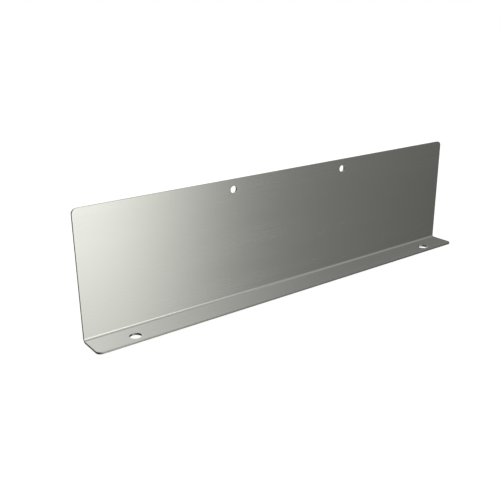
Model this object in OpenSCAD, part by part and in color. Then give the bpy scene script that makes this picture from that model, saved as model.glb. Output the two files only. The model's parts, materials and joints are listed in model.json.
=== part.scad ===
// Kick plate: one stainless sheet, cut flat with its four holes and folded once along its length.
// The tall leaf stands against the foot of a panel, and the foot lies forward on the floor.
// X runs along the plate, -Y is the side that is kicked, and Z is up.
// The origin is on the floor, midway between the centres of the two floor bolt holes.

/* [Sheet] */
// Thickness of the sheet
sheet_t = 2; // [1:0.1:3]
// Radius on the inside of the fold
fold_r = 2; // [1:0.1:4]

/* [Outline] */
// Length of the plate along the floor
plate_len = 460; // [360:1:900]
// Height of the leaf, from the floor to its top edge
leaf_h = 120; // [80:1:200]
// Depth of the foot, from the panel to its front edge
foot_d = 30; // [28:1:60]
// Radius of the leaf's two top corners
leaf_corner_r = 5; // [1:0.5:12]
// Radius of the foot's two front corners
foot_corner_r = 5; // [1:0.5:12]

/* [Panel screw holes] */
// Diameter of each hole in the leaf
screw_hole_d = 7; // [3:0.1:12]
// Distance between the centres of the two holes
screw_spacing = 140; // [40:1:320]
// Distance of the hole centres below the top edge
screw_drop = 10; // [8:0.5:30]

/* [Floor bolt holes] */
// Diameter of each hole in the foot
bolt_hole_d = 11; // [4:0.1:14]
// Distance of each hole centre from its end of the plate
bolt_inset = 40; // [15:1:120]
// Distance of the hole centres behind the foot's front edge
bolt_setback = 10; // [8:0.5:12]

/* [Hidden] */
$fn = 96;

// How far a cutting tool stands proud of the sheet on each side
cut_past = 1;
// Radius on the outside of the fold
fold_outer_r = fold_r + sheet_t;
// Back face of the leaf, which meets the panel
panel_y = foot_d - bolt_setback;
// Distance between the centres of the two floor bolt holes
bolt_spacing = plate_len - 2 * bolt_inset;

// Flat part of the sheet, reaching away from the fold in +Y, with its two far corners rounded.
module flat(reach, corner_r) {
    linear_extrude(sheet_t) {
        translate([-plate_len / 2, 0])
            square([plate_len, reach - corner_r]);
        translate([corner_r - plate_len / 2, 0])
            square([plate_len - 2 * corner_r, reach]);
        for (end = [-1, 1])
            translate([end * (plate_len / 2 - corner_r), reach - corner_r])
                circle(corner_r);
    }
}

// Quarter turn that joins the bottom of the leaf to the back of the foot.
module fold() {
    rotate([0, 90, 0])
        rotate_extrude(angle = 90)
            translate([fold_r, -plate_len / 2])
                square([sheet_t, plate_len]);
}

// Cutter for a pair of holes, side by side along X through a sheet that starts at Z = 0.
module hole_pair(spacing, d) {
    for (end = [-1, 1])
        translate([end * spacing / 2, 0, -cut_past])
            cylinder(d = d, h = sheet_t + 2 * cut_past);
}

module leaf() {
    translate([0, panel_y, fold_outer_r])
        rotate([90, 0, 0])
            flat(leaf_h - fold_outer_r, leaf_corner_r);
}

module foot() {
    translate([0, panel_y - fold_outer_r, 0])
        mirror([0, 1, 0])
            flat(foot_d - fold_outer_r, foot_corner_r);
}

module kick_plate() {
    color("#b6b7b0")
        difference() {
            union() {
                leaf();
                translate([0, panel_y - fold_outer_r, fold_outer_r])
                    fold();
                foot();
            }
            translate([0, panel_y, leaf_h - screw_drop])
                rotate([90, 0, 0])
                    hole_pair(screw_spacing, screw_hole_d);
            hole_pair(bolt_spacing, bolt_hole_d);
        }
}

kick_plate();
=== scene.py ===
import json
import math

import bmesh
import bpy
from mathutils import Matrix, Vector


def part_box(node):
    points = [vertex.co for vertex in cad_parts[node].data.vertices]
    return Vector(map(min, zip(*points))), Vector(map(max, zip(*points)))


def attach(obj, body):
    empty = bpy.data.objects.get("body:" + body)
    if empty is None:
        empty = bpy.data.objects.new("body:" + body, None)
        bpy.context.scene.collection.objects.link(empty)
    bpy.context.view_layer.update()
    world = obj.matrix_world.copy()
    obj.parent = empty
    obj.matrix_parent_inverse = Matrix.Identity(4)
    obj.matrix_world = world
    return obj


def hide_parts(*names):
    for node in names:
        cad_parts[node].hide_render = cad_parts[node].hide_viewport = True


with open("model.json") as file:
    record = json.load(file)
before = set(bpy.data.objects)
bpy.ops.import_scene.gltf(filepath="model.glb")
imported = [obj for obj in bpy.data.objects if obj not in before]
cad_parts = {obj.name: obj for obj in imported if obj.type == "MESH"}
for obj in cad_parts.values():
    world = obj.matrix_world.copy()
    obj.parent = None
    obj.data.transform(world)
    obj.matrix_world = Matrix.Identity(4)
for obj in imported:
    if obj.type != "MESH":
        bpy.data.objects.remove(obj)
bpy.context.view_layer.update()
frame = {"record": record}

# The kick plate is one sheet of stainless steel: laser cut flat, deburred, and folded once on a
# press brake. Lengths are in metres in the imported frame: X runs along the plate, -Y is the side
# that gets kicked, Z is up, and the floor is at Z = 0.

MM = 0.001
LOW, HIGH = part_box("kick_plate")
MOUNTS = {mount["name"]: mount for mount in frame["record"]["mounts"]}

SHEET = 2 * MM                      # thickness of the sheet
FOLD_IN = 2 * MM                    # radius inside the fold
FOLD_OUT = FOLD_IN + SHEET          # radius outside the fold
CORNER = 5 * MM                     # radius of the leaf's and the foot's free corners
CELL_MARGIN = 2 * MM                # flat metal kept round a hole in the mesh's square cell
DEBURR = 0.15 * MM                  # how far the cut edges are rubbed down
FOLD_STEPS = 16
CORNER_STEPS = 12
HOLE_STEPS = 48
DEBURR_STEPS = 3
ALIGNED = 0.99                      # cosine above which a face or an edge counts as aligned
SHARP = math.radians(40)            # a turn sharper than this is a cut edge
FLAT_FIRST = 100                    # weight that lets the flat faces set the shading
TINY = 0.01 * MM

FOLD_Y = HIGH.y - FOLD_OUT          # where the fold's centre line runs
FOLD_Z = LOW.z + FOLD_OUT
FOLD_MIDDLE = FOLD_IN + SHEET / 2   # radius at the middle of the sheet
SKIN, CUT = 0, 1                    # material slots: the ground faces, and the laser-cut walls


# ---------------------------------------------------------------- the folded sheet

def facing(faces, direction):
    """Those of the faces that look along a direction."""
    return [face for face in faces if face.normal.dot(Vector(direction)) > ALIGNED]


def fold_sheet(bm):
    """The leaf as a flat strip, turned through the fold and drawn forward into the foot."""
    middle = Vector(((LOW.x + HIGH.x) / 2, HIGH.y - SHEET / 2, (FOLD_Z + HIGH.z) / 2))
    size = Vector((HIGH.x - LOW.x, SHEET, HIGH.z - FOLD_Z))
    bmesh.ops.create_cube(bm, size=1, matrix=Matrix.LocRotScale(middle, None, size))
    bm.normal_update()
    leaf_end = facing(bm.faces, (0, 0, -1))
    turned = bmesh.ops.spin(
        bm, geom=leaf_end, cent=(0, FOLD_Y, FOLD_Z), axis=(1, 0, 0),
        angle=-math.pi / 2, steps=FOLD_STEPS, use_merge=False, use_duplicate=False,
    )
    fold_end = [part for part in turned["geom_last"] if isinstance(part, bmesh.types.BMFace)]
    drawn = bmesh.ops.extrude_face_region(bm, geom=fold_end)
    bmesh.ops.translate(
        bm, verts=[part for part in drawn["geom"] if isinstance(part, bmesh.types.BMVert)],
        vec=(0, LOW.y - FOLD_Y, 0),
    )
    bmesh.ops.delete(bm, geom=leaf_end + fold_end, context="FACES_ONLY")
    bmesh.ops.recalc_face_normals(bm, faces=bm.faces)


def runs(edge, axis):
    """Whether an edge runs along an axis: 0, 1 or 2."""
    return abs((edge.verts[0].co - edge.verts[1].co).normalized()[axis]) > ALIGNED


def round_corners(bm):
    """The leaf's top corners and the foot's front corners."""
    top = [e for e in bm.edges if runs(e, 1) and min(v.co.z for v in e.verts) > HIGH.z - TINY]
    front = [e for e in bm.edges if runs(e, 2) and max(v.co.y for v in e.verts) < LOW.y + TINY]
    bmesh.ops.bevel(
        bm, geom=top + front, offset=CORNER, offset_type="OFFSET", segments=CORNER_STEPS,
        profile=0.5, affect="EDGES", clamp_overlap=True, material=-1,
    )


def skins_at(bm, point, through):
    """The face of each skin that a line through the point crosses."""
    found = []
    for face in bm.faces:
        if abs(face.normal.dot(through)) < ALIGNED:
            continue
        level = point + through * (face.calc_center_median() - point).dot(through)
        if bmesh.geometry.intersect_face_point(face, level):
            found.append(face)
    return found


def punch(bm, point, through, radius):
    """One round hole: a square cell in each skin, a ring of faces round the rim, and the wall."""
    cell = radius + CELL_MARGIN
    along = Vector((1, 0, 0))
    for across in (along, through.cross(along)):
        for side in (-cell, cell):
            for face in skins_at(bm, point, through):
                bmesh.ops.bisect_plane(
                    bm, geom=[face, *face.edges, *face.verts],
                    plane_co=point + across * side, plane_no=across,
                )
    rims = []
    for face in skins_at(bm, point, through):
        out = face.normal.copy()
        centre = point + through * (face.calc_center_median() - point).dot(through)
        turn = out.to_track_quat("Z", "Y").to_matrix().to_4x4()
        sides = list(face.edges)
        bmesh.ops.delete(bm, geom=[face], context="FACES_ONLY")
        bmesh.ops.subdivide_edges(bm, edges=sides, cuts=HOLE_STEPS // 4 - 1)
        square = [e for e in bm.edges if e.is_boundary and e not in rims]
        # The circle is bridged while it stands clear of the skin, then pressed flat into it.
        circle = bmesh.ops.create_circle(
            bm, segments=HOLE_STEPS, radius=radius,
            matrix=Matrix.Translation(centre + out * radius) @ turn,
        )
        rim = [e for e in bm.edges if e.is_wire]
        bmesh.ops.bridge_loops(bm, edges=square + rim)
        bmesh.ops.translate(bm, verts=circle["verts"], vec=-out * radius)
        rims += rim
    bmesh.ops.bridge_loops(bm, edges=rims)


def blank_place(point):
    """Where a point of the folded sheet was in the flat blank: along it, down it, and how deep."""
    up = point.z - FOLD_Z
    back = point.y - FOLD_Y
    if up >= 0:
        return point.x, HIGH.z - point.z, HIGH.y - point.y
    leaf = HIGH.z - FOLD_Z
    if back >= 0:
        return point.x, leaf + math.atan2(-up, back) * FOLD_MIDDLE, FOLD_OUT - math.hypot(up, back)
    return point.x, leaf + math.pi / 2 * FOLD_MIDDLE - back, point.z - LOW.z


def mark_cut_walls(bm):
    """The walls that the laser left, all round the blank and in the holes, take their own finish."""
    for face in bm.faces:
        depth = blank_place(face.calc_center_median())[2]
        wall = SHEET / 4 < depth < SHEET * 3 / 4
        face.material_index = CUT if wall else SKIN


def lay_grain(bm):
    """A UV map in flat-blank metres, so that the grain follows the sheet round the fold."""
    layer = bm.loops.layers.uv.new("blank")
    for face in bm.faces:
        for loop in face.loops:
            loop[layer].uv = blank_place(loop.vert.co)[:2]


def build_plate():
    bm = bmesh.new()
    fold_sheet(bm)
    round_corners(bm)
    for name in ("floor_bolts", "panel_screws"):
        mount = MOUNTS[name]
        for side in (-0.5, 0.5):
            offset = Vector((side * mount["dims"]["spacing_x_mm"] * MM, 0, 0))
            radius = mount["dims"]["hole_r_mm"] * MM
            punch(bm, Vector(mount["pos_m"]) + offset, Vector(mount["axis"]), radius)
    bmesh.ops.recalc_face_normals(bm, faces=bm.faces)
    mark_cut_walls(bm)
    bmesh.ops.bevel(
        bm, geom=[e for e in bm.edges if e.calc_face_angle() > SHARP], offset=DEBURR,
        offset_type="OFFSET", segments=DEBURR_STEPS, profile=0.5, affect="EDGES",
        clamp_overlap=True, material=-1,
    )
    lay_grain(bm)
    mesh = bpy.data.meshes.new("folded_sheet")
    bm.to_mesh(mesh)
    bm.free()
    mesh.shade_smooth()
    plate = bpy.data.objects.new("folded_sheet", mesh)
    bpy.context.collection.objects.link(plate)
    weighted = plate.modifiers.new("flat faces stay flat", "WEIGHTED_NORMAL")
    weighted.mode = "FACE_AREA"
    weighted.weight = FLAT_FIRST
    weighted.keep_sharp = True
    return plate


# ---------------------------------------------------------------- materials

def linear(hex_colour):
    """An sRGB hex colour as the linear colour that the shaders take."""
    channels = [int(hex_colour[i:i + 2], 16) / 255 for i in (1, 3, 5)]
    return [c / 12.92 if c <= 0.04045 else ((c + 0.055) / 1.055) ** 2.4 for c in channels] + [1]


def add(tree, kind, inputs, **settings):
    """A node with its settings; each input is a value, or another node's socket to link."""
    node = tree.nodes.new(kind)
    for name, value in settings.items():
        setattr(node, name, value)
    for name, value in inputs.items():
        if isinstance(value, bpy.types.NodeSocket):
            tree.links.new(value, node.inputs[name])
        else:
            node.inputs[name].default_value = value
    return node


def new_material(name):
    material = bpy.data.materials.new(name)
    material.use_nodes = True
    material.node_tree.nodes.clear()
    return material, material.node_tree


# Satin-ground stainless: an abrasive belt has run along the sheet, so fine lines follow X, the
# sheen is soft, and it spreads across the lines much more than along them.
SATIN_STEEL = ("#cccec6", "#d2d3cb")
SATIN_ROUGHNESS = (0.22, 0.28)
SATIN_SPREAD = 0.85                 # how much wider the sheen is across the lines
QUARTER_TURN = 0.25                 # turns the spread from along the lines to across them
NOISE_SPAN = (0.3, 0.7)             # noise mostly stays between these
# The real belt lines are about 0.1 mm apart; they are drawn 0.5 mm apart, so that they can show.
BELT_LINE = 0.5 * MM
BELT_LINE_LENGTH = 60 * MM
BELT_LINE_DEPTH = 0.001 * MM
# Passes of the belt meet unevenly, which leaves bands a few centimetres wide that barely show.
BELT_PASS = 25 * MM
BELT_PASS_LENGTH = 300 * MM
BELT_PASS_SHARE = 0.4               # how much of the grind's unevenness comes from the passes


def satin_ground_stainless():
    material, tree = new_material("satin_ground_stainless")
    blank = add(tree, "ShaderNodeUVMap", {}, uv_map="blank").outputs["UV"]
    line_place = add(tree, "ShaderNodeMapping", {
        "Vector": blank, "Scale": (1 / BELT_LINE_LENGTH, 1 / BELT_LINE, 1),
    })
    lines = add(tree, "ShaderNodeTexNoise", {
        "Vector": line_place.outputs["Vector"], "Scale": 1.0, "Detail": 3.0, "Roughness": 0.6,
    }, noise_dimensions="2D").outputs["Fac"]
    pass_place = add(tree, "ShaderNodeMapping", {
        "Vector": blank, "Scale": (1 / BELT_PASS_LENGTH, 1 / BELT_PASS, 1),
    })
    passes = add(tree, "ShaderNodeTexNoise", {
        "Vector": pass_place.outputs["Vector"], "Scale": 1.0, "Detail": 2.0, "Roughness": 0.5,
    }, noise_dimensions="2D").outputs["Fac"]
    grind = add(tree, "ShaderNodeMix", {"Factor": BELT_PASS_SHARE, 2: lines, 3: passes}).outputs[0]
    rough = add(tree, "ShaderNodeMapRange", {
        "Value": grind, "From Min": NOISE_SPAN[0], "From Max": NOISE_SPAN[1],
        "To Min": SATIN_ROUGHNESS[0], "To Max": SATIN_ROUGHNESS[1],
    })
    tone = add(tree, "ShaderNodeMix", {
        0: grind, 6: linear(SATIN_STEEL[0]), 7: linear(SATIN_STEEL[1]),
    }, data_type="RGBA")
    bump = add(tree, "ShaderNodeBump", {
        "Height": lines, "Strength": 1.0, "Distance": BELT_LINE_DEPTH,
    })
    tangent = add(tree, "ShaderNodeTangent", {}, direction_type="UV_MAP", uv_map="blank")
    steel = add(tree, "ShaderNodeBsdfPrincipled", {
        "Base Color": tone.outputs[2], "Metallic": 1.0, "Roughness": rough.outputs["Result"],
        "Anisotropic": SATIN_SPREAD, "Anisotropic Rotation": QUARTER_TURN,
        "Normal": bump.outputs["Normal"], "Tangent": tangent.outputs["Tangent"],
    })
    add(tree, "ShaderNodeOutputMaterial", {"Surface": steel.outputs["BSDF"]})
    return material


# Laser-cut stainless, deburred: the beam leaves fine ridges straight through the thickness, so
# the wall is a little darker than the ground faces, and ribbed close up.
CUT_STEEL = ("#a8a9a2", "#c0c1ba")
CUT_ROUGHNESS = (0.20, 0.30)
# The real ridges are about 0.2 mm apart; they are drawn 0.35 mm apart, so that they can show.
CUT_RIDGE = 0.35 * MM
CUT_RIDGE_DEPTH = 0.005 * MM


def laser_cut_stainless():
    material, tree = new_material("laser_cut_stainless")
    blank = add(tree, "ShaderNodeUVMap", {}, uv_map="blank").outputs["UV"]
    ridges = add(tree, "ShaderNodeTexNoise", {
        "Vector": blank, "Scale": 1 / CUT_RIDGE, "Detail": 2.0, "Roughness": 0.6,
    }, noise_dimensions="2D").outputs["Fac"]
    rough = add(tree, "ShaderNodeMapRange", {
        "Value": ridges, "From Min": NOISE_SPAN[0], "From Max": NOISE_SPAN[1],
        "To Min": CUT_ROUGHNESS[0], "To Max": CUT_ROUGHNESS[1],
    })
    tone = add(tree, "ShaderNodeMix", {
        0: ridges, 6: linear(CUT_STEEL[0]), 7: linear(CUT_STEEL[1]),
    }, data_type="RGBA")
    bump = add(tree, "ShaderNodeBump", {
        "Height": ridges, "Strength": 1.0, "Distance": CUT_RIDGE_DEPTH,
    })
    steel = add(tree, "ShaderNodeBsdfPrincipled", {
        "Base Color": tone.outputs[2], "Metallic": 1.0, "Roughness": rough.outputs["Result"],
        "Normal": bump.outputs["Normal"],
    })
    add(tree, "ShaderNodeOutputMaterial", {"Surface": steel.outputs["BSDF"]})
    return material


# White floor paint, lit a little from within so that it stays near white round the object.
FLOOR_WHITE = "#f4f4f2"
FLOOR_GLOW = 0.68


def white_floor_paint():
    material, tree = new_material("white_floor_paint")
    paint = add(tree, "ShaderNodeBsdfPrincipled", {
        "Base Color": linear(FLOOR_WHITE), "Roughness": 1.0, "Specular IOR Level": 0.0,
        "Emission Color": linear(FLOOR_WHITE), "Emission Strength": FLOOR_GLOW,
    })
    add(tree, "ShaderNodeOutputMaterial", {"Surface": paint.outputs["BSDF"]})
    return material


# ---------------------------------------------------------------- studio

FLOOR_HALF = 6.0                    # from the middle of the floor to its sides
FLOOR_GAP = 0.05 * MM               # keeps the floor's face off the foot's underside


def build_floor():
    bm = bmesh.new()
    bmesh.ops.create_grid(
        bm, x_segments=1, y_segments=1, size=FLOOR_HALF,
        matrix=Matrix.Translation((0, 0, LOW.z - FLOOR_GAP)),
    )
    mesh = bpy.data.meshes.new("floor")
    bm.to_mesh(mesh)
    bm.free()
    floor = bpy.data.objects.new("floor", mesh)
    bpy.context.collection.objects.link(floor)
    floor.data.materials.append(white_floor_paint())
    # The steel is to mirror the studio's light and not the floor, so the floor stays out of its
    # reflections and lets the light that comes from below the horizon through.
    floor.visible_glossy = False
    floor.visible_shadow = False
    return floor


# The studio is a tent of white cloth round the object. It glows a little everywhere, more
# towards the top, and tall soft lights shine through it.
TENT_GLOW = 0.03
TOP_GLOW = 0.64
TOP_REACH = math.radians(110)       # how far down from the zenith the top's glow reaches
UP = (0, 0, 1)
TALL = 0.4                          # how little height counts, which makes the lights tall
BACKDROP_WHITE = 1.0

# Each light: its turn from -Y towards +X, the half-width of its even middle and that of its whole
# soft edge, in degrees, and its strength.
TENT_LIGHTS = {
    "key": (20, 0, 19, 1.68),
    "wide_fill": (2, 0, 77, 0.45),
    "back": (170, 0, 38, 1.36),
}


def direction(turn):
    return math.sin(math.radians(turn)), -math.cos(math.radians(turn)), 0


def glow_towards(tree, view, axis, even, edge, strength):
    """Light that is even near an axis and fades out to an edge; the angles are in radians."""
    near = add(tree, "ShaderNodeVectorMath", {0: view, 1: axis}, operation="DOT_PRODUCT")
    away = add(tree, "ShaderNodeMath", {0: near.outputs["Value"]}, operation="ARCCOSINE")
    return add(tree, "ShaderNodeMapRange", {
        "Value": away.outputs[0], "From Min": edge, "From Max": even,
        "To Min": 0.0, "To Max": strength,
    }, interpolation_type="SMOOTHSTEP").outputs["Result"]


def build_tent():
    world = bpy.data.worlds.new("white_tent")
    world.use_nodes = True
    tree = world.node_tree
    tree.nodes.clear()
    view = add(tree, "ShaderNodeTexCoord", {}).outputs["Generated"]
    squashed = add(tree, "ShaderNodeVectorMath", {0: view, 1: (1, 1, TALL)}, operation="MULTIPLY")
    tall = add(tree, "ShaderNodeVectorMath", {0: squashed.outputs[0]}, operation="NORMALIZE")
    glows = [glow_towards(tree, view, UP, 0, TOP_REACH, TOP_GLOW)]
    for turn, even, edge, strength in TENT_LIGHTS.values():
        glows.append(glow_towards(
            tree, tall.outputs[0], direction(turn), math.radians(even), math.radians(edge), strength,
        ))
    total = TENT_GLOW
    for glow in glows:
        total = add(tree, "ShaderNodeMath", {0: total, 1: glow}, operation="ADD").outputs[0]
    lit = add(tree, "ShaderNodeBackground", {"Color": linear("#ffffff"), "Strength": total})
    plain = add(tree, "ShaderNodeBackground", {"Color": linear("#ffffff"), "Strength": BACKDROP_WHITE})
    # What is seen directly behind the object is plain white cloth.
    seen = add(tree, "ShaderNodeLightPath", {}).outputs["Is Camera Ray"]
    tent = add(tree, "ShaderNodeMixShader", {0: seen, 1: lit.outputs[0], 2: plain.outputs[0]})
    add(tree, "ShaderNodeOutputWorld", {"Surface": tent.outputs[0]})
    bpy.context.scene.world = world


# The camera stands in front and to the left, and looks down a little at the leaf.
CAMERA_PLACE = (-0.4290, -0.48945, 0.27218)
CAMERA_TURN = -36.634
CAMERA_DOWN = 19.695
CAMERA_ROLL = -0.481
CAMERA_LENS = 49.14                 # focal length in mm
CAMERA_NEAR = 0.01


def build_camera():
    camera = bpy.data.objects.new("camera", bpy.data.cameras.new("camera"))
    bpy.context.collection.objects.link(camera)
    camera.data.lens = CAMERA_LENS
    camera.data.clip_start = CAMERA_NEAR
    camera.matrix_world = (
        Matrix.Translation(CAMERA_PLACE)
        @ Matrix.Rotation(math.radians(CAMERA_TURN), 4, "Z")
        @ Matrix.Rotation(math.radians(90 - CAMERA_DOWN), 4, "X")
        @ Matrix.Rotation(math.radians(CAMERA_ROLL), 4, "Z")
    )
    bpy.context.scene.camera = camera


plate = build_plate()
plate.data.materials.append(satin_ground_stainless())
plate.data.materials.append(laser_cut_stainless())
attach(plate, "root")
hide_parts("kick_plate")
# The steel is kept out of its own reflections, so that the leaf stays even down to the fold.
# Real satin steel would mirror its foot there faintly.
plate.visible_glossy = False

build_floor()
build_tent()
build_camera()
bpy.context.scene.view_settings.view_transform = "Standard"
